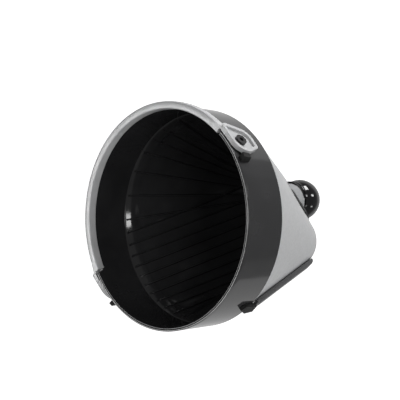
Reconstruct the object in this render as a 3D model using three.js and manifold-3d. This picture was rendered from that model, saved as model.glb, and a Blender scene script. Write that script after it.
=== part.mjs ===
// Cone filter basket of a drip coffee maker, for size 1x4 wedge paper filters.
// Millimetres, +Z up along the axis of the mouth. The origin is on that axis, in the
// plane of the collar's lower edge, which rests in the machine's carrier ring.
// -X is the side over which the folded bail handle lies, +X carries the guide rail.
import * as THREE from "three";
import { ConvexGeometry } from "three/addons/geometries/ConvexGeometry.js";
import { mergeVertices } from "three/addons/utils/BufferGeometryUtils.js";
import Module from "manifold-3d";

const wasm = await Module();
wasm.setup();
const { Manifold } = wasm;

// ---- driving dimensions ----
const RIM_Z = 28.5;          // plane of the mouth
const RIM_R = 62.0;          // outer radius of the collar at the mouth
const SEAT_R = 60.5;         // outer radius of the collar at its lower edge
const BAND_T = 0.9;          // wall of the collar band
const BAND_GAP = 0.2;        // groove between band and funnel
const WALL_T = 0.8;          // wall of the funnel's upright part
const LEDGE_Z = 0.9;         // shelf where the wedge starts
const WEDGE_R = 58.3;        // wedge radius under the shelf
const SLOT_Z = -70.0;        // inside floor of the wedge
const SLOT_HX = 26.5;        // half length of the floor slot
const SLOT_HY = 11.8;        // half width of the floor slot
const SKIN = 1.1;            // wall of the wedge, measured level
const FLOOR_T = 1.4;         // floor of the wedge
const RIB_T = 1.0;           // rib thickness
const RIB_D = 1.5;           // rib height off the wall
const RIB_PITCH = 6.5;       // spacing of the parallel ribs
const RIBS_PER_SIDE = 5;
const RIB_FAN = [0, 9.7, 23, 38, 52]; // directions of the fan ribs, degrees off the X axis
const COVER_TOP = -0.3;
const COVER_R = 60.0;
const COVER_BOT = -72.8;
const COVER_END = [17.5, 13.6];   // round end of the lower opening over +X: centre, radius
const COVER_BOSS = [-17.3, 15.3]; // wider round end around the outlet
const COVER_T = 0.9;
const NOTCH_X = -1.0;        // half-round notch in the cover's lower edge on both long sides
const NOTCH_R = 12.3;
const PLATE_IN = 1.5;        // how far the base plate lies inside the cover's outline
const PLATE_TOP = SLOT_Z - 1.7;
const PLATE_BOT = -75.0;
const LIP_TOP = COVER_BOT - 0.3;  // oval lip of the base plate, just under the cover's edge
const LIP_X = [-6.6, 5.0];        // centres of its two round ends
const LIP_R = 14.5;
const SCREW_X = [4.5, 14.5];
const OUT_X = -14;           // outlet axis
const BOSS_X = -11.5;        // axis of the pedestal around the outlet
const BOSS_R = 11.7;
const BORE_R = 5.0;          // outlet bore
const SPOUT_R = 6.5;         // tube around the bore
const SPOUT_END = -88.9;
const PIVOT_Z = 21.5;        // bail pivot height
const PIN_R = 2.0;
const PIN_HEAD_R = 3.2;
const BAIL_RI = 59.2;
const BAIL_RO = 63.7;
const BAIL_H = 4.5;
const BAIL_CLEAR_R = 11.0;   // arc about the pivot that ends the rim's cut-back
const BAIL_END_R = 11.4;     // arc about the pivot that ends the bow
const EYE_Y0 = 62.35;
const EYE_Y1 = 65.0;
const FIT = 0.3;             // gap between touching pieces
const FAR = 80;              // beyond the part's sides
const SEG = 80;

const PAINT = {
  black: [0x17171a, 0.25, 0.0],
  band: [0x4a4b4f, 0.3, 0.2],
  silver: [0xc4c6c9, 0.35, 0.9],
  grey: [0xb9bbbd, 0.4, 0.1],
  rail: [0x505256, 0.5, 0.0],
  rubber: [0x1c1c1e, 0.8, 0.0],
  steel: [0x9ea1a5, 0.3, 1.0],
};

const root = new THREE.Group();
root.name = "filter_basket";
const outlet = new THREE.Group();
outlet.position.x = OUT_X;
root.add(outlet);
const pivot = new THREE.Group();
pivot.position.z = PIVOT_Z;
root.add(pivot);

// ---- closed geometry to solid and back ----

function solid(geometry) {
  const bare = geometry.clone();
  bare.deleteAttribute("normal");
  bare.deleteAttribute("uv");
  const merged = mergeVertices(bare, 1e-4);
  const index = Array.from(merged.index.array);
  const triVerts = [];
  for (let i = 0; i < index.length; i += 3) {
    const [a, b, c] = index.slice(i, i + 3);
    if (a !== b && b !== c && c !== a) triVerts.push(a, b, c);
  }
  const vertProperties = new Float32Array(merged.attributes.position.array);
  const mesh = new wasm.Mesh({ numProp: 3, vertProperties, triVerts: new Uint32Array(triVerts) });
  return new Manifold(mesh);
}

function add(name, body, paint, parent = root) {
  const data = body.simplify(0.004).getMesh();
  const geometry = new THREE.BufferGeometry();
  const positions = new Float32Array(data.vertProperties);
  geometry.setAttribute("position", new THREE.BufferAttribute(positions, 3));
  geometry.setIndex(new THREE.BufferAttribute(new Uint32Array(data.triVerts), 1));
  geometry.computeVertexNormals();
  const [color, roughness, metalness] = PAINT[paint];
  const look = new THREE.MeshStandardMaterial({ color, roughness, metalness });
  const mesh = new THREE.Mesh(geometry, look);
  mesh.name = name;
  parent.add(mesh);
  return mesh;
}

// the same piece on the other side of the XZ plane
function addPair(name, body, paint, parent = root) {
  add(name + "_left", body, paint, parent);
  const right = add(name + "_right", body, paint, parent);
  right.scale.y = -1;
}

// ---- shapes ----

function signedArea(profile) {
  let sum = 0;
  profile.forEach(([x, y], i) => {
    const [u, v] = profile[(i + 1) % profile.length];
    sum += x * v - u * y;
  });
  return sum / 2;
}

// solid of revolution about Z from a closed [radius, z] outline
function turned(profile, seg = SEG) {
  const outline = signedArea(profile) > 0 ? profile : profile.slice().reverse();
  const points = [...outline, outline[0]].map(([r, z]) => new THREE.Vector2(r, z));
  return solid(new THREE.LatheGeometry(points, seg).rotateX(Math.PI / 2));
}

function block(x0, x1, y0, y1, z0, z1) {
  const box = new THREE.BoxGeometry(x1 - x0, y1 - y0, z1 - z0);
  return solid(box.translate((x0 + x1) / 2, (y0 + y1) / 2, (z0 + z1) / 2));
}

// cylinder along Z at (x, 0)
function rod(r, z0, z1, x = 0, seg = 48) {
  const bar = new THREE.CylinderGeometry(r, r, z1 - z0, seg).rotateX(Math.PI / 2);
  return solid(bar.translate(x, 0, (z0 + z1) / 2));
}

// cylinder along Y at (x, z)
function crossRod(r, y0, y1, x, z, seg = 40) {
  const bar = new THREE.CylinderGeometry(r, r, y1 - y0, seg);
  return solid(bar.translate(x, (y0 + y1) / 2, z));
}

function hull(points) {
  return solid(new ConvexGeometry(points.map((p) => new THREE.Vector3(...p))));
}

function circle(r, z, x = 0, seg = SEG) {
  const points = [];
  for (let i = 0; i < seg; i += 1) {
    const a = (i / seg) * Math.PI * 2;
    points.push([x + r * Math.cos(a), r * Math.sin(a), z]);
  }
  return points;
}

// circle in a plane square to Y
function uprightCircle(r, y, x, z, seg) {
  return circle(r, 0, 0, seg).map(([u, v]) => [x + u, y, z + v]);
}

// wedge that is round at the top and a slot at the bottom, grown level by one amount
function wedge(grow, zBot) {
  const mid = SLOT_HX - SLOT_HY;
  const ends = [mid, -mid].map((x) => circle(SLOT_HY + grow, zBot, x, 40));
  return hull([...circle(WEDGE_R + grow, LEDGE_Z), ...ends.flat()]);
}

// the cover's shape, grown level by one amount and made taller at both ends
function coverShape(grow, reach) {
  const ends = [COVER_END, COVER_BOSS].map(([x, r]) => circle(r + grow, COVER_BOT - reach, x, 48));
  return hull([...circle(COVER_R + grow, COVER_TOP + reach), ...ends.flat()]);
}

// space over the folded bail: upper rim over -X, ended by an arc about the pivot
function bailSpace(depth, keep) {
  const half = block(-FAR, 0, -FAR, FAR, RIM_Z - depth, RIM_Z + 10);
  return half.subtract(crossRod(keep, -FAR - 1, FAR + 1, 0, PIVOT_Z, 96));
}

// ---- basket ----

function ribSlab(x0, x1) {
  return block(x0, x1, -FAR, FAR, SLOT_Z - 1, LEDGE_Z - 0.2);
}

// one fan rib: an upright slab from a point under the shelf to the matching slot end point
function fanSlab(end, side, degrees) {
  const a = THREE.MathUtils.degToRad(degrees);
  const mid = SLOT_HX - SLOT_HY;
  const from = new THREE.Vector2(end * WEDGE_R * Math.cos(a), side * WEDGE_R * Math.sin(a));
  const to = new THREE.Vector2(end * (mid + SLOT_HY * Math.cos(a)), side * SLOT_HY * Math.sin(a));
  const run = to.clone().sub(from);
  const length = run.length() + 3.5;
  const height = LEDGE_Z - 0.2 - (SLOT_Z - 1);
  const slab = new THREE.BoxGeometry(length, RIB_T, height);
  slab.translate(length / 2 - 3, 0, SLOT_Z - 1 + height / 2);
  slab.rotateZ(run.angle());
  return solid(slab.translate(from.x, from.y, 0));
}

function ribSlabs() {
  const slabs = [];
  for (let i = 0; i < RIBS_PER_SIDE; i += 1) {
    const x = RIB_PITCH * (i + 0.5);
    slabs.push(ribSlab(x - RIB_T / 2, x + RIB_T / 2));
    slabs.push(ribSlab(-x - RIB_T / 2, -x + RIB_T / 2));
  }
  for (const end of [1, -1]) {
    for (const degrees of RIB_FAN) {
      slabs.push(fanSlab(end, 1, degrees));
      if (degrees > 0) slabs.push(fanSlab(end, -1, degrees));
    }
  }
  return slabs;
}

function filterFunnel() {
  const inTop = RIM_R - BAND_T - BAND_GAP - WALL_T;
  const inLow = SEAT_R - BAND_T - BAND_GAP - WALL_T + 0.15;
  const wall = turned([
    [inTop, RIM_Z], [inTop + WALL_T, RIM_Z], [inLow + WALL_T, 0.3],
    [WEDGE_R + 0.5, 0.3], [WEDGE_R + 0.15, LEDGE_Z], [inLow, LEDGE_Z + 0.5],
  ]);
  const shell = wedge(SKIN, SLOT_Z - FLOOR_T).subtract(wedge(0, SLOT_Z));
  const core = wedge(-RIB_D, SLOT_Z - 1);
  const rooted = wedge(0.4, SLOT_Z - 0.4);
  const ribs = Manifold.union(ribSlabs()).intersect(rooted).subtract(core);
  const spout = rod(SPOUT_R, SPOUT_END, SLOT_Z - 1, OUT_X);
  const bore = rod(BORE_R, SPOUT_END - 1, SLOT_Z + 0.5, OUT_X);
  const body = shell.add(ribs).add(wall).add(spout).subtract(bore);
  add("filter_funnel", body.subtract(bailSpace(BAIL_H + FIT, BAIL_CLEAR_R)), "black");
}

function collarBand() {
  const band = turned([
    [RIM_R - BAND_T, RIM_Z], [RIM_R - 0.2, RIM_Z], [RIM_R, RIM_Z - 0.3],
    [SEAT_R, 0], [SEAT_R - BAND_T, 0],
  ]);
  const holes = crossRod(PIN_R + FIT, -FAR, FAR, 0, PIVOT_Z);
  add("collar_band", band.subtract(bailSpace(BAIL_H + FIT, BAIL_CLEAR_R)).subtract(holes), "band");
}

function coneCover() {
  const notch = crossRod(NOTCH_R, -FAR, FAR, NOTCH_X, COVER_BOT, 96);
  const shell = coverShape(0, 0).subtract(coverShape(-COVER_T, 0.01));
  add("cone_cover", shell.subtract(notch), "silver");
}

// half-round tabs that fill the cover's notches
function notchTabs() {
  const bar = crossRod(NOTCH_R - FIT, -FAR, FAR, NOTCH_X, COVER_BOT, 96);
  return bar.intersect(coverShape(-0.15, 0)).subtract(wedge(SKIN + FIT, SLOT_Z - FLOOR_T - FIT));
}

// plate inside the cover's lower edge, with an oval lip under that edge
function basePlate() {
  const inside = (z) => [COVER_END, COVER_BOSS].flatMap(([x, r]) => circle(r - PLATE_IN, z, x, 32));
  const lip = (inset, z) => LIP_X.flatMap((x) => circle(LIP_R - inset, z, x, 48));
  const plate = hull([...inside(PLATE_TOP), ...inside(LIP_TOP - 0.2)]);
  const foot = hull([...lip(0, LIP_TOP), ...lip(0, PLATE_BOT + 0.4), ...lip(0.4, PLATE_BOT)]);
  let body = plate.add(foot).add(notchTabs());
  body = body.subtract(rod(SPOUT_R + FIT, PLATE_BOT - 1, PLATE_TOP + 1, OUT_X));
  for (const x of SCREW_X) {
    body = body.subtract(rod(1.4 + FIT, PLATE_BOT - 1, PLATE_TOP + 1, x));
  }
  add("base_plate", body, "black");
}

// cross-recessed screws up into the floor of the wedge
function baseScrews() {
  const head = PLATE_BOT - FIT;
  const cap = rod(2.9, head - 1.6, head, 0, 32);
  const shank = rod(1.4, head - 0.1, PLATE_TOP + 0.1, 0, 24);
  const slot = block(-1.7, 1.7, -0.35, 0.35, head - 2, head - 0.9);
  const cross = block(-0.35, 0.35, -1.7, 1.7, head - 2, head - 0.9);
  SCREW_X.forEach((x, i) => {
    const screw = cap.add(shank).subtract(slot).subtract(cross);
    add("base_screw_" + (i + 1), screw, "steel").position.x = x;
  });
}

// tapering bar down the cover's +X side
function guideRail() {
  const slope = (COVER_R - COVER_END[0] - COVER_END[1]) / (COVER_TOP - COVER_BOT);
  const points = [];
  for (const z of [-4.2, COVER_BOT + 0.5]) {
    const x = COVER_R - (COVER_TOP - z) * slope;
    points.push([x + 0.35, -3, z], [x + 0.35, 3, z], [x + 3.2, -2.4, z], [x + 3.2, 2.4, z]);
  }
  add("guide_rail", hull(points), "rail");
}

// slim tab over the collar's lower edge, above the rail
function latchHook() {
  const tab = hull([
    [56, -5.5, 3.5], [56, -2.0, 9.0], [56, 1.4, 6.5], [56, 1.0, -3.2], [56, -4.6, -3.6],
    [62.9, -5.0, 3.0], [62.9, -2.0, 8.0], [62.9, 1.2, 6.0], [62.3, 0.8, -3.2], [62.3, -4.4, -3.6],
  ]);
  const inside = turned([
    [0, -6], [COVER_R + 0.2, -6], [COVER_R + 0.2, -0.25],
    [SEAT_R + 0.25, -0.25], [RIM_R + 0.25, RIM_Z], [0, RIM_Z],
  ]);
  add("latch_hook", tab.subtract(inside), "rubber");
}

// blocks beside the eyes that the folded bail rests against
function handleStops() {
  const inside = turned([[0, -2], [SEAT_R + 0.2, -2], [RIM_R + 0.25, RIM_Z], [0, RIM_Z]]);
  const low = RIM_Z - 9.6;
  const high = RIM_Z - 1.8;
  const body = hull([
    [8.9, 58, low], [11.8, 58, low], [8.9, 58, high], [11.8, 58, high],
    [8.9, 64.6, low + 1.8], [11.4, 64.0, low + 1.8], [8.9, 65.4, high], [11.4, 64.8, high],
  ]);
  addPair("handle_stop", body.subtract(inside), "rubber");
}

function pivotPins() {
  const shank = crossRod(PIN_R, 60.95, 64.2, 0, 0, 24);
  const head = crossRod(PIN_HEAD_R, 63.95, 65.6, 0, 0, 32);
  const dimple = crossRod(1.3, 64.9, 66, 0, 0, 16);
  addPair("pivot_pin", shank.add(head).subtract(dimple), "rubber", pivot);
}

// ---- bail ----

// teardrop plate, drawn in by inset
function eyePlate(inset, y0, y1) {
  const points = [];
  for (const y of [y0, y1]) {
    points.push(...uprightCircle(8.3 - inset, y, -0.5, PIVOT_Z - 1.9, 64));
    points.push(...uprightCircle(2.4 - inset, y, 3.4, PIVOT_Z - 8.0, 24));
    points.push(...uprightCircle(2.25 - inset, y, -9.4, PIVOT_Z + 4.75, 24));
  }
  return hull(points);
}

// cranked link from the bow's end out to the eye
function eyeLink() {
  const crank = new THREE.Shape([
    new THREE.Vector2(-16, 60.4), new THREE.Vector2(-12, 60.4), new THREE.Vector2(-10, EYE_Y0),
    new THREE.Vector2(-5.5, EYE_Y0), new THREE.Vector2(-5.5, 64.7), new THREE.Vector2(-9, 64.2),
    new THREE.Vector2(-16, 61.4),
  ]);
  const link = new THREE.ExtrudeGeometry(crank, { depth: BAIL_H, bevelEnabled: false });
  const clear = crossRod(BAIL_END_R, 50, EYE_Y0, 0, PIVOT_Z, 96);
  return solid(link.translate(0, 0, RIM_Z - BAIL_H)).subtract(clear);
}

// one eye of the bail: flat plate outside the collar, with a recess for the pin head
function bailEye() {
  const recess = eyePlate(1.9, 63.6, 70);
  const hole = crossRod(PIN_R + 0.08, 50, FAR, 0, PIVOT_Z, 24);
  const above = block(-40, 40, 50, FAR, RIM_Z, RIM_Z + 20);
  return eyePlate(0, EYE_Y0, EYE_Y1).add(eyeLink()).subtract(above).subtract(recess).subtract(hole);
}

function mirrored(body) {
  return body.mirror([0, 1, 0]);
}

function bailHandle() {
  const c = 0.5;
  const low = RIM_Z - BAIL_H;
  const ring = turned([
    [BAIL_RI, low + c], [BAIL_RI + c, low], [BAIL_RO - c, low], [BAIL_RO, low + c],
    [BAIL_RO, RIM_Z - c], [BAIL_RO - c, RIM_Z], [BAIL_RI + c, RIM_Z],
  ]);
  const bow = ring.intersect(bailSpace(BAIL_H + 1, BAIL_END_R));
  const eye = bailEye();
  add("bail_handle", bow.add(eye).add(mirrored(eye)), "grey");
}

// ---- outlet, about its own axis ----

function spout() {
  const top = PLATE_BOT - FIT;
  const low = -86.0;
  const shift = BOSS_X - OUT_X;
  const foot = hull([
    ...circle(BOSS_R - 0.3, top, shift, 48), ...circle(BOSS_R, top - 0.4, shift, 48),
    ...circle(BOSS_R, low, shift, 48),
  ]);
  add("spout_pedestal", foot.subtract(rod(7.0, low - 1, top + 1)), "silver", outlet);
  const gasket = turned([[7.0, low - FIT], [11.1, low - FIT], [11.1, -88.1], [7.0, -88.1]], 48);
  add("spout_gasket", gasket, "rubber", outlet);
}

// ball-shaped cap with the valve chamber inside
function valveHousing() {
  const outside = [
    [10.4, -88.4], [10.9, -88.9], [10.9, -90.2], [11.5, -91.8], [12.1, -94.2], [12.3, -97.2],
    [12.1, -99.8], [11.3, -102.4], [10.0, -104.5], [8.9, -105.5],
  ];
  const chamber = [
    [6.4, -105.5], [6.4, -99.2], [3.1, -99.2], [3.1, -97.2], [8.0, -97.2], [8.0, -88.4],
  ];
  add("valve_housing", turned([...outside, ...chamber], 48), "black", outlet);
}

function valveParts() {
  const poppet = turned([
    [0, -93.4], [6.9, -93.4], [6.9, -94.4], [4.2, -95.0], [4.2, -96.7],
    [1.9, -97.4], [1.9, -102.6], [0, -102.6],
  ], 36);
  add("valve_poppet", poppet, "grey", outlet);
  const ring = circle(0.95, 0, 0, 8).map(([u, v]) => [5.5 + u, -96.0 + v]);
  add("valve_seal", turned(ring, 36), "rubber", outlet);
  const foot = turned([[0, -102.9], [5.6, -102.9], [5.6, -105.9], [5.0, -106.5], [0, -106.5]], 36);
  add("valve_foot", foot, "grey", outlet);
}

// helix about Z
class Coil extends THREE.Curve {
  constructor(radius, turns, low, high) {
    super();
    Object.assign(this, { radius, turns, low, high });
  }

  getPoint(t, target = new THREE.Vector3()) {
    const a = t * this.turns * Math.PI * 2;
    const z = this.low + (this.high - this.low) * t;
    return target.set(this.radius * Math.cos(a), this.radius * Math.sin(a), z);
  }
}

function valveSpring() {
  const wire = new THREE.Shape().absarc(0, 0, 0.3, 0, Math.PI * 2);
  const extrudePath = new Coil(6.0, 3, -92.75, -89.55);
  const options = { steps: 48, curveSegments: 3, bevelEnabled: false, extrudePath };
  add("valve_spring", solid(new THREE.ExtrudeGeometry(wire, options)), "steel", outlet);
}

filterFunnel();
collarBand();
coneCover();
basePlate();
baseScrews();
guideRail();
latchHook();
handleStops();
pivotPins();
bailHandle();
spout();
valveHousing();
valveParts();
valveSpring();

export default root;
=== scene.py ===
import math

import bmesh
import bpy
from mathutils import Matrix, Vector


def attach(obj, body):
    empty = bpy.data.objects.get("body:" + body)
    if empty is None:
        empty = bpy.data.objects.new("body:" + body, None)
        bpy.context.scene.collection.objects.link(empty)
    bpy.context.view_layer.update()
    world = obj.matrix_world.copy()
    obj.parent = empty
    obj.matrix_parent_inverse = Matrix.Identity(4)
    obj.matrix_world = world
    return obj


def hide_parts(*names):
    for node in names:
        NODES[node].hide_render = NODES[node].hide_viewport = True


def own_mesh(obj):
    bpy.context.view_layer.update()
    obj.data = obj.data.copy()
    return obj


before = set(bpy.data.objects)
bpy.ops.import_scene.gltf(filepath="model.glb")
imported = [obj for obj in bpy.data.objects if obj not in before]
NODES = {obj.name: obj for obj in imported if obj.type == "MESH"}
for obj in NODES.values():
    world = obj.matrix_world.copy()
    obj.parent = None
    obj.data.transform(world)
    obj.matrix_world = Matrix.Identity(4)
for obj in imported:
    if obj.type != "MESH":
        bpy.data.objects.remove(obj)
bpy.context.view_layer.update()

MM = 0.001

# Dimensions in millimetres, the same as in the CAD. The mouth's axis is Z.
RIM_Z = 28.5  # plane of the mouth
RIM_R = 62.0  # collar band at the mouth
SEAT_R = 60.5  # collar band at its lower edge
BAND_T = 0.9
WALL_OUT = 60.9  # funnel's upright wall at the mouth
WALL_SEAT_OUT = 59.4  # and at its foot
WALL_SEAT_IN = 58.75
WALL_T = 0.8
WALL_BOT = 0.3
CUT_BACK = 4.8  # how far the wall is cut back under the folded bail
STEP_R = 11.0  # arc about the pivot that ends the cut-back
LEDGE_Z = 0.9  # shelf where the wedge starts
WEDGE_R = 58.3
SLOT_Z = -70.0  # floor of the wedge
SLOT_HX = 26.5  # half length and half width of the floor slot
SLOT_HY = 11.8
SLOT_MID = SLOT_HX - SLOT_HY
SLOT_LOW = ((SLOT_MID, SLOT_HY), (-SLOT_MID, SLOT_HY))
FLOOR_T = 1.4
SHELF_BLEND = 6.0  # height over which the shelf turns into the wedge
RIB_D = 1.5
RIB_W = 1.0
RIB_PITCH = 6.5
RIBS_PER_SIDE = 5
RIB_FAN = (0, 9.7, 23, 38, 52)
BORE_R = 5.0
TUBE_R = 6.5
TUBE_END = -88.9
COVER_R = 60.0
COVER_TOP = -0.3
COVER_BOT = -72.8
COVER_T = 0.9
COVER_LOW = ((17.5, 13.6), (-17.3, 15.3))  # centre and radius of the lower opening's ends
NOTCH_X = -1.0  # half-round notches in the cover's lower edge
NOTCH_R = 12.3
PIVOT_Z = 21.5
PIN_HOLE_R = 2.08
BAIL_RI = 59.2
BAIL_RO = 63.7
BAIL_H = 4.5
BAIL_END_R = 11.4  # arc about the pivot that ends the bow
BOW_END_X = -10.6
BOW_MID_R = 61.2
EYE_Y0 = 62.35  # inner and outer face of an eye
EYE_Y1 = 65.0
EYE_FLOOR_Y = 63.6
EYE_RIM = 1.9
EYE_CIRCLES = ((-0.5, -1.9, 8.3), (3.4, -8.0, 2.4), (-9.4, 4.75, 2.25))  # x, z about the pivot, radius
LINK_FOOT = ((-16, 60.4), (-16, 61.4), (-9, 64.2), (-5.5, 64.7), (-5.5, EYE_Y0), (-10, EYE_Y0), (-12, 60.4))
OUT_X = -14.0  # outlet's axis
BOSS_X = -11.5
BOSS_R = 11.7
BALL_R = 12.3
BALL_Z = -97.3
HOUSING_END = -105.5
COIL_R = 6.0
WIRE_R = 0.3
COIL_LOW = -92.75
COIL_HIGH = -89.55
COIL_TURNS = 3
RAIL_TOP = -4.2
FLOOR_Z = -1.3  # metres
FLOOR_HALF = 60.0


# ---------------------------------------------------------------- mesh helpers
def make(name, verts, faces, smooth=35.0):
    mesh = bpy.data.meshes.new(name)
    mesh.from_pydata([tuple(c * MM for c in v) for v in verts], [], faces)
    mesh.validate()
    work = bmesh.new()
    work.from_mesh(mesh)
    bmesh.ops.remove_doubles(work, verts=work.verts, dist=1e-7)
    bmesh.ops.recalc_face_normals(work, faces=work.faces)
    work.to_mesh(mesh)
    work.free()
    obj = bpy.data.objects.new(name, mesh)
    bpy.context.scene.collection.objects.link(obj)
    soften(obj, smooth)
    return obj


def soften(obj, degrees):
    for face in obj.data.polygons:
        face.use_smooth = True
    sharp = math.radians(degrees)
    work = bmesh.new()
    work.from_mesh(obj.data)
    for edge in work.edges:
        if len(edge.link_faces) == 2 and edge.calc_face_angle(0.0) > sharp:
            edge.smooth = False
    work.to_mesh(obj.data)
    work.free()


def grid_shell(rings, closed_rings=True, closed_cols=True):
    """Faces for rows of equal length; rows wrap round when closed_rings is set."""
    faces = []
    rows, cols = len(rings), len(rings[0])
    for i in range(rows if closed_rings else rows - 1):
        j = (i + 1) % rows
        for k in range(cols if closed_cols else cols - 1):
            m = (k + 1) % cols
            faces.append((i * cols + k, i * cols + m, j * cols + m, j * cols + k))
    return [v for ring in rings for v in ring], faces


def capped(name, rows, smooth=35.0):
    """Tube through rows of equal length, closed by a face at each end."""
    verts, faces = grid_shell(rows, False, True)
    n = len(rows[0])
    base = (len(rows) - 1) * n
    faces.append(tuple(range(n)))
    faces.append(tuple(base + k for k in range(n - 1, -1, -1)))
    return make(name, verts, faces, smooth)


def lathe(name, profile, seg=128, cx=0.0, smooth=35.0, closed=True):
    """Solid of revolution about Z from [radius, z] corners; radius 0 closes a pole."""
    verts, faces = [], []
    rows = []
    for r, z in profile:
        if r < 1e-6:
            rows.append([len(verts)])
            verts.append((cx, 0.0, z))
            continue
        rows.append(list(range(len(verts), len(verts) + seg)))
        for k in range(seg):
            a = 2 * math.pi * k / seg
            verts.append((cx + r * math.cos(a), r * math.sin(a), z))
    count = len(rows)
    for i in range(count if closed else count - 1):
        a, b = rows[i], rows[(i + 1) % count]
        for k in range(seg):
            m = (k + 1) % seg
            if len(a) == 1 and len(b) == 1:
                continue
            if len(a) == 1:
                faces.append((a[0], b[m], b[k]))
            elif len(b) == 1:
                faces.append((a[k], a[m], b[0]))
            else:
                faces.append((a[k], a[m], b[m], b[k]))
    return make(name, verts, faces, smooth)


def rounded(profile, radii, steps=4):
    """The closed corner list with each corner of radius > 0 turned into an arc."""
    out = []
    n = len(profile)
    for i, (x, z) in enumerate(profile):
        r = radii[i] if isinstance(radii, (list, tuple)) else radii
        p = Vector(profile[i - 1]) - Vector((x, z))
        q = Vector(profile[(i + 1) % n]) - Vector((x, z))
        if r <= 0 or p.length < 1e-6 or q.length < 1e-6:
            out.append((x, z))
            continue
        r = min(r, p.length * 0.49, q.length * 0.49)
        a = Vector((x, z)) + p.normalized() * r
        b = Vector((x, z)) + q.normalized() * r
        for s in range(steps + 1):
            t = s / steps
            c = a * (1 - t) ** 2 + Vector((x, z)) * 2 * t * (1 - t) + b * t ** 2
            out.append((c.x, c.y))
    return out


def bevel(obj, width, segments=3, angle=32.0):
    mod = obj.modifiers.new("edge", "BEVEL")
    mod.width = width * MM
    mod.segments = segments
    mod.limit_method = "ANGLE"
    mod.angle_limit = math.radians(angle)
    mod.harden_normals = False
    return mod


def prism(name, outline, y0, y1, side=1):
    """Closed plate with an x-z outline, from y0 to y1, on the +Y or -Y side."""
    n = len(outline)
    verts = [(x, side * y0, z) for x, z in outline] + [(x, side * y1, z) for x, z in outline]
    faces = [tuple(range(n)), tuple(range(2 * n - 1, n - 1, -1))]
    for i in range(n):
        j = (i + 1) % n
        faces.append((i, j, n + j, n + i))
    return make(name, verts, faces)


def boolean(obj, other, kind):
    mod = obj.modifiers.new("cut", "BOOLEAN")
    mod.operation = kind
    mod.solver = "EXACT"
    mod.object = other
    apply_modifiers(obj)
    bpy.data.objects.remove(other)


def apply_modifiers(obj):
    bpy.context.view_layer.update()
    graph = bpy.context.evaluated_depsgraph_get()
    mesh = bpy.data.meshes.new_from_object(obj.evaluated_get(graph))
    obj.modifiers.clear()
    old = obj.data
    obj.data = mesh
    bpy.data.meshes.remove(old)


def join(objs, name):
    """One object from several, their meshes added together."""
    verts, faces = [], []
    for o in objs:
        base = len(verts)
        verts += [tuple(c / MM for c in v.co) for v in o.data.vertices]
        faces += [tuple(base + i for i in p.vertices) for p in o.data.polygons]
        bpy.data.objects.remove(o)
    return make(name, verts, faces)


# ---------------------------------------------------------------- materials
class Paint:
    """A Principled material with its colour, roughness and bump from noise."""

    def __init__(self, name):
        self.mat = bpy.data.materials.new(name)
        self.mat.use_nodes = True
        self.tree = self.mat.node_tree
        self.shader = self.tree.nodes["Principled BSDF"]
        self.coords = self.tree.nodes.new("ShaderNodeTexCoord")

    def set(self, **values):
        for key, value in values.items():
            self.shader.inputs[key.replace("_", " ")].default_value = value
        return self

    def noise(self, scale, detail=3.0, stretch=None):
        node = self.tree.nodes.new("ShaderNodeTexNoise")
        node.inputs["Scale"].default_value = scale
        node.inputs["Detail"].default_value = detail
        source = self.coords.outputs["Object"]
        if stretch:
            mapping = self.tree.nodes.new("ShaderNodeMapping")
            mapping.inputs["Scale"].default_value = stretch
            self.tree.links.new(source, mapping.inputs["Vector"])
            source = mapping.outputs["Vector"]
        self.tree.links.new(source, node.inputs["Vector"])
        return node.outputs["Fac"]

    def colour(self, fac, dark, light):
        ramp = self.tree.nodes.new("ShaderNodeValToRGB")
        ramp.color_ramp.elements[0].position = 0.3
        ramp.color_ramp.elements[1].position = 0.7
        ramp.color_ramp.elements[0].color = (*dark, 1)
        ramp.color_ramp.elements[1].color = (*light, 1)
        self.tree.links.new(fac, ramp.inputs["Fac"])
        self.tree.links.new(ramp.outputs["Color"], self.shader.inputs["Base Color"])
        return self

    def rough(self, fac, low, high):
        node = self.tree.nodes.new("ShaderNodeMapRange")
        node.inputs["From Min"].default_value = 0.3
        node.inputs["From Max"].default_value = 0.7
        node.inputs["To Min"].default_value = low
        node.inputs["To Max"].default_value = high
        self.tree.links.new(fac, node.inputs["Value"])
        self.tree.links.new(node.outputs["Result"], self.shader.inputs["Roughness"])
        return self

    def bump(self, fac, distance, strength=1.0):
        node = self.tree.nodes.new("ShaderNodeBump")
        node.inputs["Distance"].default_value = distance
        node.inputs["Strength"].default_value = strength
        self.tree.links.new(fac, node.inputs["Height"])
        self.tree.links.new(node.outputs["Normal"], self.shader.inputs["Normal"])
        return self


def paint(name, settings, spots, dark, light, grain, low, high, bumps=None):
    """Material whose colour runs from dark to light and whose roughness from low to high."""
    p = Paint(name).set(**settings)
    p.colour(p.noise(*spots), dark, light)
    p.rough(p.noise(*grain), low, high)
    if bumps:
        scale, detail, distance, strength = bumps
        p.bump(p.noise(scale, detail), distance, strength)
    return p.mat


def tone(r, g=None, b=None):
    return (r, r if g is None else g, r if b is None else b)


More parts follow.
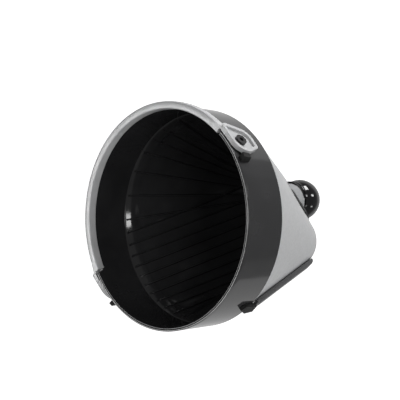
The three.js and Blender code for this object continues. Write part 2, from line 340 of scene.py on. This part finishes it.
MATS = {
    "black": paint("black_gloss", {"IOR": 1.47}, (60,), tone(0.017, b=0.018), tone(0.024, b=0.025),
                   (220, 4), 0.08, 0.12, (900, 2, 0.000012, 0.5)),
    "polish": paint("black_polish", {"IOR": 1.52}, (80,), tone(0.004, b=0.0045), tone(0.007, b=0.0075),
                    (150, 3), 0.05, 0.09, (300, 2, 0.00001, 0.3)),
    "band": paint("band_gloss", {"IOR": 1.6}, (50,), tone(0.022, b=0.023), tone(0.03, b=0.031),
                  (180, 4), 0.07, 0.11, (700, 2, 0.00001, 0.4)),
    "silver": paint("satin_silver", {"Metallic": 0.25, "IOR": 1.45}, (900, 2),
                    tone(0.39, 0.394, 0.40), tone(0.45, 0.454, 0.46),
                    (300, 4), 0.34, 0.44, (2600, 2, 0.000014, 0.6)),
    # darker copy of the cover's satin silver: painted shade on the outlet's pedestal
    "silver_painted_shade": paint("satin_silver_painted_shade", {"Metallic": 0.2, "IOR": 1.5}, (900, 2),
                  tone(0.26, 0.264, 0.27), tone(0.31, 0.314, 0.32),
                  (300, 4), 0.45, 0.55, (2600, 2, 0.000014, 0.6)),
    "grey": paint("grey_plastic", {"IOR": 1.48}, (120,), tone(0.44, 0.444, 0.45), tone(0.50, 0.504, 0.51),
                  (260, 4), 0.2, 0.28, (1500, 3, 0.00001, 0.4)),
    "rail": paint("rail_plastic", {"IOR": 1.48}, (150,),
                  tone(0.035, 0.0355, 0.037), tone(0.05, 0.0505, 0.052),
                  (300, 4), 0.4, 0.52, (1400, 3, 0.00002, 0.6)),
    "rubber": paint("rubber", {"IOR": 1.35}, (200,), tone(0.004), tone(0.009),
                    (400, 4), 0.6, 0.75, (1800, 3, 0.00002, 0.6)),
    "steel": paint("steel", {"Metallic": 1.0}, (500, 3, (1, 1, 12)), tone(0.5, b=0.51), tone(0.62, b=0.63),
                   (600, 4), 0.22, 0.34),
}


def finish_piece(obj, mat, slot, body, *nodes):
    obj.data.materials.clear()
    obj.data.materials.append(MATS[mat])
    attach(obj, body)
    if nodes:
        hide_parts(*nodes)


# ---------------------------------------------------------------- shapes
def columns():
    """Plan angles in degrees, closer together at the two steps of the rim."""
    out = []
    a = 0.0
    while a < 359.99:
        out.append(a)
        near = min(abs(a - 99.0), abs(a - 261.0))
        a += 0.1 if near < 2.2 else (0.5 if near < 4 else 1.5)
    return out


def rim_height(x):
    """Height of the upright wall: full over +X, cut back under the folded bail."""
    low = RIM_Z - CUT_BACK
    if x >= 0:
        return RIM_Z
    lift = STEP_R ** 2 - x ** 2
    arc = PIVOT_Z + math.sqrt(lift) if lift > 0 else low
    return max(low, min(RIM_Z, arc))


def ring_wall(name, r_out, r_in, z_bot, lip, smooth=40.0):
    """Closed upright wall whose radii depend on height, with a rounded lip."""
    rows = []
    for deg in columns():
        a = math.radians(deg)
        c, s = math.cos(a), math.sin(a)
        top = rim_height(c * (RIM_R - 0.5))
        col = []
        cuts = 10
        for i in range(cuts + 1):
            z = z_bot + (top - lip - z_bot) * i / cuts
            col.append((r_out(z), z))
        r = min(lip, (r_out(top) - r_in(top)) / 2)
        for i in range(1, 5):
            t = math.pi / 2 * i / 4
            col.append((r_out(top) - r + r * math.cos(t), top - lip + lip * math.sin(t)))
        for i in range(0, 5):
            t = math.pi / 2 * i / 4
            col.append((r_in(top) + r - r * math.sin(t), top - lip + lip * math.cos(t)))
        for i in range(1, cuts + 1):
            z = top - lip + (z_bot - top + lip) * i / cuts
            col.append((r_in(z), z))
        rows.append([(r * c, r * s, z) for r, z in col])
    verts, faces = grid_shell(rows, True, True)
    return make(name, verts, faces, smooth)


def taper(at_rim, at_seat):
    return lambda z: at_seat + (at_rim - at_seat) * z / RIM_Z


def hull_columns(low, count=48, flat=24):
    """(direction, x, y) round a lower opening made of two circles and their tangents."""
    (xa, ra), (xb, rb) = low
    lean = math.degrees(math.acos((rb - ra) / (xa - xb)))
    out = []
    for (x, r), start, end in (((xa, ra), -lean, lean), ((xb, rb), lean, 360 - lean)):
        for i in range(count + 1):
            a = math.radians(start + (end - start) * i / count)
            out.append((a, x + r * math.cos(a), r * math.sin(a)))
        a = out[-1][0]
        go = Vector(out[-1][1:])
        to_x, to_r = (xb, rb) if x == xa else (xa, ra)
        to = Vector((to_x + to_r * math.cos(a), to_r * math.sin(a)))
        for i in range(1, flat):
            p = go.lerp(to, i / flat)
            out.append((a, p.x, p.y))
    return out


def hull_ring(r_top, z_top, low, z_bot, z, inset=0.0):
    """Section at height z of a shell that is round at the top and has that lower opening."""
    f = (z_top - z) / (z_top - z_bot)
    low = tuple((x, r - inset) for x, r in low)
    rho = (1 - f) * (r_top - inset)
    return [(f * x + rho * math.cos(a), f * y + rho * math.sin(a), z) for a, x, y in hull_columns(low)]


def loft(name, sections, smooth=40.0):
    verts, faces = grid_shell(sections, True, True)
    return make(name, verts, faces, smooth)


def slot_ring(z, inset=0.0, floor=SLOT_Z):
    """Section of the wedge at height z."""
    return hull_ring(WEDGE_R, LEDGE_Z, SLOT_LOW, floor, z, inset)


def tube_ring(r, z, count):
    """Circle about the outlet's axis that starts where the wedge's sections start."""
    ring = []
    for k in range(count):
        a = math.radians(-90) + 2 * math.pi * k / count
        ring.append((OUT_X + r * math.cos(a), r * math.sin(a), z))
    return ring


def wedge_shell():
    """The funnel below the shelf: inner wedge, floor with the outlet bore, outer wedge."""
    fillet = 1.5
    under = SLOT_Z - FLOOR_T
    blend_z = LEDGE_Z - SHELF_BLEND
    rows = []
    for i in range(13):
        t = i / 12
        rows.append(slot_ring(LEDGE_Z - SHELF_BLEND * t, 1.1 * (t * (1 - t)) ** 0.8))
    for i in range(1, 29):
        rows.append(slot_ring(blend_z + (SLOT_Z + fillet - blend_z) * i / 28))
    for i in range(1, 5):
        t = math.pi / 2 * i / 4
        rows.append(slot_ring(SLOT_Z + fillet - fillet * math.sin(t), fillet * (1 - math.cos(t))))
    bore = [(BORE_R + 0.6, SLOT_Z), (BORE_R + 0.15, SLOT_Z - 0.15), (BORE_R, SLOT_Z - 0.6)]
    tube = [(BORE_R, TUBE_END), (TUBE_R, TUBE_END), (TUBE_R, under)]
    count = len(rows[0])
    for r, z in bore + tube:
        rows.append(tube_ring(r, z, count))
    for i in range(29):
        rows.append(slot_ring(under + (LEDGE_Z - under) * i / 28, -0.9, under))
    return loft("wedge", rows)


def blade(name, root, crest, side, width):
    """Thin rib from a root line to a crest line, rounded along the crest."""
    rows = []
    w = Vector(side).normalized() * (width / 2)
    for p, q in zip(root, crest):
        p, q = Vector(p), Vector(q)
        d = q - p
        near = p + d * 0.8
        section = [p - w, p + w, near + w * 0.92, q + w * 0.45, q - w * 0.45, near - w * 0.92]
        rows.append([tuple(v) for v in section])
    return capped(name, rows, 50.0)


def straight_rib(x, side):
    """Rib in a plane x = constant, down one flat wall to the slot."""
    root, crest = [], []
    top = LEDGE_Z - 0.2
    for i in range(31):
        z = top + (SLOT_Z + 0.1 - top) * i / 30
        f = (LEDGE_Z - z) / (LEDGE_Z - SLOT_Z)
        rho = (1 - f) * WEDGE_R + f * SLOT_HY
        over = max(0.0, abs(x) - f * SLOT_MID)
        if over > rho - 0.4:
            break
        wall = math.sqrt((rho + 0.3) ** 2 - over ** 2)
        core = rho - RIB_D
        inner = math.sqrt(core ** 2 - over ** 2) if over < core else 0.0
        inner = max(inner, wall - 3.4)
        root.append((x, side * wall, z))
        crest.append((x, side * inner, z))
    return blade("rib", root, crest, (1, 0, 0), RIB_W)


def fan_rib(deg, end, side):
    """Rib along a straight line of the wedge's rounded end."""
    a = math.radians(deg)
    c, s = end * math.cos(a), side * math.sin(a)
    root, crest = [], []
    top = LEDGE_Z - 0.2
    for i in range(19):
        z = top + (SLOT_Z + 0.1 - top) * i / 18
        f = (LEDGE_Z - z) / (LEDGE_Z - SLOT_Z)
        rho = (1 - f) * WEDGE_R + f * SLOT_HY
        mid = end * f * SLOT_MID
        root.append((mid + (rho + 0.3) * c, (rho + 0.3) * s, z))
        crest.append((mid + (rho - RIB_D) * c, (rho - RIB_D) * s, z))
    return blade("rib", root, crest, (-s, c, 0), RIB_W)


def build_funnel():
    outside = taper(WALL_OUT, WALL_SEAT_OUT)
    inside = taper(WALL_OUT - WALL_T, WALL_SEAT_IN)
    wall = ring_wall("wall", outside, inside, WALL_BOT, 0.3)
    shelf = lathe("shelf", [
        (59.5, WALL_BOT), (59.5, 1.5), (59.0, 1.45), (58.65, 1.3), (WEDGE_R, LEDGE_Z), (58.6, WALL_BOT),
    ], 240)
    parts = [wall, shelf, wedge_shell()]
    for side in (1, -1):
        for i in range(RIBS_PER_SIDE):
            for s in (1, -1):
                parts.append(straight_rib(s * RIB_PITCH * (i + 0.5), side))
    for end in (1, -1):
        for deg in RIB_FAN:
            parts.append(fan_rib(deg, end, 1))
            if deg:
                parts.append(fan_rib(deg, end, -1))
    funnel = join(parts, "funnel_moulding")
    finish_piece(funnel, "black", "black_plastic", "basket", "filter_funnel")


def build_band():
    band = ring_wall("band_ring", taper(RIM_R, SEAT_R), taper(RIM_R - BAND_T, SEAT_R - BAND_T), 0.0, 0.28)
    finish_piece(band, "band", "band_plastic", "basket", "collar_band")


def build_cover():
    def ring(z, inset):
        return hull_ring(COVER_R, COVER_TOP, COVER_LOW, COVER_BOT, z, inset)

    rows = []
    steps = 36
    high, low = COVER_TOP - 0.2, COVER_BOT + 0.35
    for i in range(steps + 1):
        rows.append(ring(high + (low - high) * i / steps, 0.0))
    for inset, lift in ((0.1, 0.1), (0.35, 0.0), (0.6, 0.1)):
        rows.append(ring(COVER_BOT + lift, inset))
    for i in range(steps + 1):
        rows.append(ring(low + (high - low) * i / steps, COVER_T))
    for inset in (0.7, 0.2):
        rows.append(ring(COVER_TOP, inset))
    cover = loft("cover_shell", rows)
    boolean(cover, cross_rod("notch", NOTCH_R, -80, 80, 1, 160, NOTCH_X, COVER_BOT), "DIFFERENCE")
    soften(cover, 40)
    bevel(cover, 0.15, 2, 60)
    apply_modifiers(cover)
    soften(cover, 40)
    finish_piece(cover, "silver", "cover_silver", "basket", "cone_cover")


def eye_outline(inset=0.0):
    """Teardrop outline in x and z of one eye, cut off at the rim plane."""
    pts = []
    for cx, cz, radius in EYE_CIRCLES:
        r = radius - inset
        for i in range(96):
            a = 2 * math.pi * i / 96
            pts.append((round(cx + r * math.cos(a), 5), round(cz + r * math.sin(a), 5)))
    pts = sorted(set(pts))
    lower, upper = [], []
    for line, order in ((lower, pts), (upper, reversed(pts))):
        for p in order:
            while len(line) > 1 and turn(line[-2], line[-1], p) <= 0:
                line.pop()
            line.append(p)
    hull = lower[:-1] + upper[:-1]
    return [(x, PIVOT_Z + min(z, RIM_Z - PIVOT_Z)) for x, z in hull]


def turn(o, a, b):
    """Above 0 where the way from o through a to b turns left."""
    return (a[0] - o[0]) * (b[1] - o[1]) - (a[1] - o[1]) * (b[0] - o[0])


def dedupe(points):
    """The closed outline without points closer than 0.02 mm to the one before."""
    out = []
    for p in points:
        if not out or math.dist(p, out[-1]) > 0.02:
            out.append(p)
    if math.dist(out[0], out[-1]) < 0.02:
        out.pop()
    return out


def cross_rod(name, r, y0, y1, side, seg=64, x=0.0, z=PIVOT_Z):
    """Rod along Y, about the bail's pivot unless x and z say otherwise."""
    ring = []
    for i in range(seg):
        a = 2 * math.pi * i / seg
        ring.append((x + r * math.cos(a), z + r * math.sin(a)))
    return prism(name, ring, y0, y1, side)


def build_bow(low):
    """Half ring of the bail, folded on the rim."""
    corners = [(BAIL_RI, low), (BAIL_RO, low), (BAIL_RO, RIM_Z), (BAIL_RI + 0.4, RIM_Z)]
    profile = rounded(corners, [0.4, 0.7, 0.8, 0.5], 4)
    start = math.degrees(math.acos(BOW_END_X / BOW_MID_R))
    count = 180
    rows = []
    for i in range(count + 1):
        a = math.radians(start + (360 - 2 * start) * i / count)
        rows.append([(r * math.cos(a), r * math.sin(a), z) for r, z in profile])
    return capped("bail_bow", rows)


def build_eye(low, side):
    """Eye on one side with its recess and hole, and the link that joins it to the bow."""
    plate = prism("eye", dedupe(eye_outline()), EYE_Y0, EYE_Y1, side)
    link = [[(x, side * y, z) for x, y in LINK_FOOT] for z in (low, RIM_Z)]
    boolean(plate, capped("link", link), "UNION")
    boolean(plate, prism("recess", dedupe(eye_outline(EYE_RIM)), EYE_FLOOR_Y, 70, side), "DIFFERENCE")
    boolean(plate, cross_rod("hole", PIN_HOLE_R, 50, 80, side), "DIFFERENCE")
    return plate


def build_bail():
    low = RIM_Z - BAIL_H
    bail = build_bow(low)
    for side in (1, -1):
        boolean(bail, build_eye(low, side), "UNION")
    for side in (1, -1):
        boolean(bail, cross_rod("clear", BAIL_END_R, 50, EYE_Y0 - 0.05, side, 128), "DIFFERENCE")
    soften(bail, 30)
    bevel(bail, 0.3, 2, 40)
    apply_modifiers(bail)
    soften(bail, 30)
    finish_piece(bail, "grey", "handle_plastic", "bail", "bail_handle")


def build_pedestal():
    """Bright silver foot about its own axis, with a hole about the outlet's axis, in a darker copy of the
    cover's silver that is painted shade.
    """
    side = rounded([(7.0, -75.3), (BOSS_R, -75.3), (BOSS_R, -86.0), (7.0, -86.0)], [0.2, 0.6, 0.3, 0.2], 4)
    foot = lathe("outlet_foot", side, 128, BOSS_X)
    for v in foot.data.vertices:
        if math.hypot(v.co.x / MM - BOSS_X, v.co.y / MM) < 7.5:
            v.co.x += (OUT_X - BOSS_X) * MM
    # the cover's silver made darker: painted shade
    finish_piece(foot, "silver_painted_shade", "cover_silver", "basket", "spout_pedestal")


def build_gasket():
    ring = rounded([(7.0, -86.3), (11.1, -86.3), (11.1, -88.1), (7.0, -88.1)], 0.3, 3)
    gasket = lathe("outlet_gasket", ring, 96, OUT_X)
    finish_piece(gasket, "rubber", "stop_rubber", "basket", "spout_gasket")


def build_housing():
    """Ball-ended housing: two small steps, a swelling shoulder, the ball and the chamber."""
    outer = [(9.9, -88.4), (10.6, -88.45), (10.9, -88.8), (10.9, -89.3), (10.45, -89.5), (10.4, -89.9),
             (10.7, -90.15), (11.1, -90.2), (11.2, -90.4), (11.2, -91.2), (10.9, -91.4), (10.95, -91.8)]
    for i in range(1, 29):
        z = -91.9 - 13.6 * i / 28
        d = z - BALL_Z
        ball = BALL_R * math.sqrt(1 - (d / BALL_R) ** 2)
        shoulder = BALL_R - 1.35 * (d / 5.5) ** 2
        outer.append((ball if d < 0 else shoulder, z))
    inner = [(6.7, HOUSING_END), (6.4, HOUSING_END + 0.3), (6.4, -99.2), (3.1, -99.2), (3.1, -97.2),
             (8.0, -97.2), (8.0, -88.4)]
    shell = lathe("outlet_housing", outer + inner, 128, OUT_X)
    finish_piece(shell, "polish", "black_plastic", "basket", "valve_housing")


def build_button():
    foot = rounded([(0, -102.9), (5.6, -102.9), (5.6, -106.5), (0, -106.5)], [0, 0.3, 0.9, 0], 5)
    button = lathe("outlet_button", foot, 96, OUT_X, closed=False)
    finish_piece(button, "grey", "valve_plastic", "valve", "valve_foot")


def build_spring():
    """Coil between the poppet and the outlet's top, which closes up as the valve rises."""
    steps, sides = 144, 10
    rows = []
    for i in range(steps + 1):
        along = 2 * math.pi * COIL_TURNS * i / steps
        z = COIL_LOW + (COIL_HIGH - COIL_LOW) * i / steps
        ring = []
        for k in range(sides):
            a = 2 * math.pi * k / sides
            r = COIL_R + WIRE_R * math.cos(a)
            ring.append((OUT_X + r * math.cos(along), r * math.sin(along), z + WIRE_R * math.sin(a)))
        rows.append(ring)
    spring = capped("spring_coil", rows)
    finish_piece(spring, "steel", "steel", "valve", "valve_spring")
    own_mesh(spring)


def build_rail():
    """Low rounded strip down the cover's straight edge over +X, narrower at its ends."""
    slope = (COVER_R - sum(COVER_LOW[0])) / (COVER_TOP - COVER_BOT)
    low = COVER_BOT + 0.5
    steps = 24
    rows = []
    for i in range(steps + 1):
        z = RAIL_TOP + (low - RAIL_TOP) * i / steps
        x = COVER_R - (COVER_TOP - z) * slope + 0.35
        edge = min(1.0, min(i, steps - i) / 2.0)
        swell = math.sqrt(1 - (1 - edge) ** 2)
        w = 2.0 + 1.0 * swell
        h = 1.9 + 0.95 * swell
        corner = rounded([(0, -w), (h, -w * 0.86), (h, w * 0.86), (0, w)], [0.2, 0.7, 0.7, 0.2], 4)
        rows.append([(x + a, b, z) for a, b in corner])
    rail = capped("rail_strip", rows)
    finish_piece(rail, "rail", "rail_plastic", "basket", "guide_rail")


def dress_nodes():
    """CAD nodes that stay in view get a material and softened edges."""
    looks = {
        "base_plate": ("black", 0.2), "base_screw_1": ("steel", 0.15), "base_screw_2": ("steel", 0.15),
        "latch_hook": ("rubber", 0.4), "handle_stop_left": ("rubber", 0.35),
        "handle_stop_right": ("rubber", 0.35), "pivot_pin_left": ("polish", 0.3),
        "pivot_pin_right": ("polish", 0.3), "valve_poppet": ("grey", 0.1),
        "valve_seal": ("rubber", 0.0),
    }
    for name, (mat, edge) in looks.items():
        node = NODES[name]
        node.data.materials.clear()
        node.data.materials.append(MATS[mat])
        for face in node.data.polygons:
            face.use_smooth = False
        if edge:
            bevel(node, edge, 3, 25)


# ---------------------------------------------------------------- stage
def white_stage():
    """Pale floor far below the hanging basket, bright in view and out of its reflections."""
    mat = bpy.data.materials.new("pale_floor")
    mat.use_nodes = True
    shader = mat.node_tree.nodes["Principled BSDF"]
    shader.inputs["Base Color"].default_value = (0.9, 0.9, 0.9, 1)
    shader.inputs["Roughness"].default_value = 0.9
    shader.inputs["Emission Color"].default_value = (1, 1, 1, 1)
    shader.inputs["Emission Strength"].default_value = 0.9
    mesh = bpy.data.meshes.new("floor")
    s, z = FLOOR_HALF, FLOOR_Z
    mesh.from_pydata([(-s, -s, z), (s, -s, z), (s, s, z), (-s, s, z)], [], [(0, 1, 2, 3)])
    floor = bpy.data.objects.new("floor", mesh)
    bpy.context.scene.collection.objects.link(floor)
    mesh.materials.append(mat)
    floor.visible_diffuse = False
    floor.visible_glossy = False
    floor.visible_shadow = False


# Camera in metres: its place, and its axes in the object's frame.
EYE = Vector((0.38812, 0.47594, 0.6477))
AHEAD = Vector((-0.44332, -0.52603, -0.72577))
UP = Vector((-0.77047, 0.63738, 0.00866))
RIGHT = Vector((0.45803, 0.56302, -0.68789))


def camera():
    data = bpy.data.cameras.new("camera")
    data.sensor_width = 36
    data.lens = 144
    data.clip_start = 0.01
    data.clip_end = 20
    cam = bpy.data.objects.new("camera", data)
    bpy.context.scene.collection.objects.link(cam)
    turn3 = Matrix((RIGHT, UP, -AHEAD)).transposed()
    cam.matrix_world = Matrix.Translation(EYE) @ turn3.to_4x4()
    bpy.context.scene.camera = cam


def panel(name, place, size, power):
    """Soft area light aimed at the origin."""
    data = bpy.data.lights.new(name, "AREA")
    data.shape = "RECTANGLE"
    data.size, data.size_y = size
    data.energy = power
    data.spread = math.pi
    lamp = bpy.data.objects.new(name, data)
    bpy.context.scene.collection.objects.link(lamp)
    lamp.location = place
    lamp.rotation_euler = (-Vector(place)).to_track_quat("-Z", "Y").to_euler()
    lamp.visible_camera = False


def lights():
    world = bpy.data.worlds.new("studio")
    world.use_nodes = True
    back = world.node_tree.nodes["Background"]
    back.inputs["Color"].default_value = (1, 1, 1, 1)
    back.inputs["Strength"].default_value = 0.2
    bpy.context.scene.world = world
    up, right, out = UP, RIGHT, -AHEAD
    mouth = Vector((0, 0, 1)) + 0.27 * Vector((0.637, 0.771, 0))
    panel("key", up * 0.9 + out * 0.1 + right * 0.45, (0.4, 0.4), 8)
    panel("low", -up * 0.95 + out * 0.15 + right * 0.15, (0.7, 0.5), 4.7)
    panel("right_high", right * 0.93 + up * 0.33 + out * 0.1, (0.14, 0.26), 1.6)
    panel("right_low", right * 0.88 - up * 0.45 + out * 0.1, (0.1, 0.2), 0.4)
    panel("glint", Vector((-0.444, -0.544, 0.71)) * 1.2, (0.3, 0.3), 2.8)
    panel("behind", out * -1.0, (3.4, 3.4), 15)
    panel("behind_wide", out * -1.05, (6.0, 6.0), 11)
    panel("shelf_glint", Vector((0.53, 0.72, 0.43)) * 1.2, (0.26, 0.4), 4.2)
    panel("mouth", mouth * 1.2, (0.2, 0.2), 1.5)


build_funnel()
build_band()
build_cover()
build_bail()
build_pedestal()
build_gasket()
build_housing()
build_button()
build_spring()
build_rail()
dress_nodes()
white_stage()
camera()
lights()
bpy.context.scene.view_settings.view_transform = "Standard"
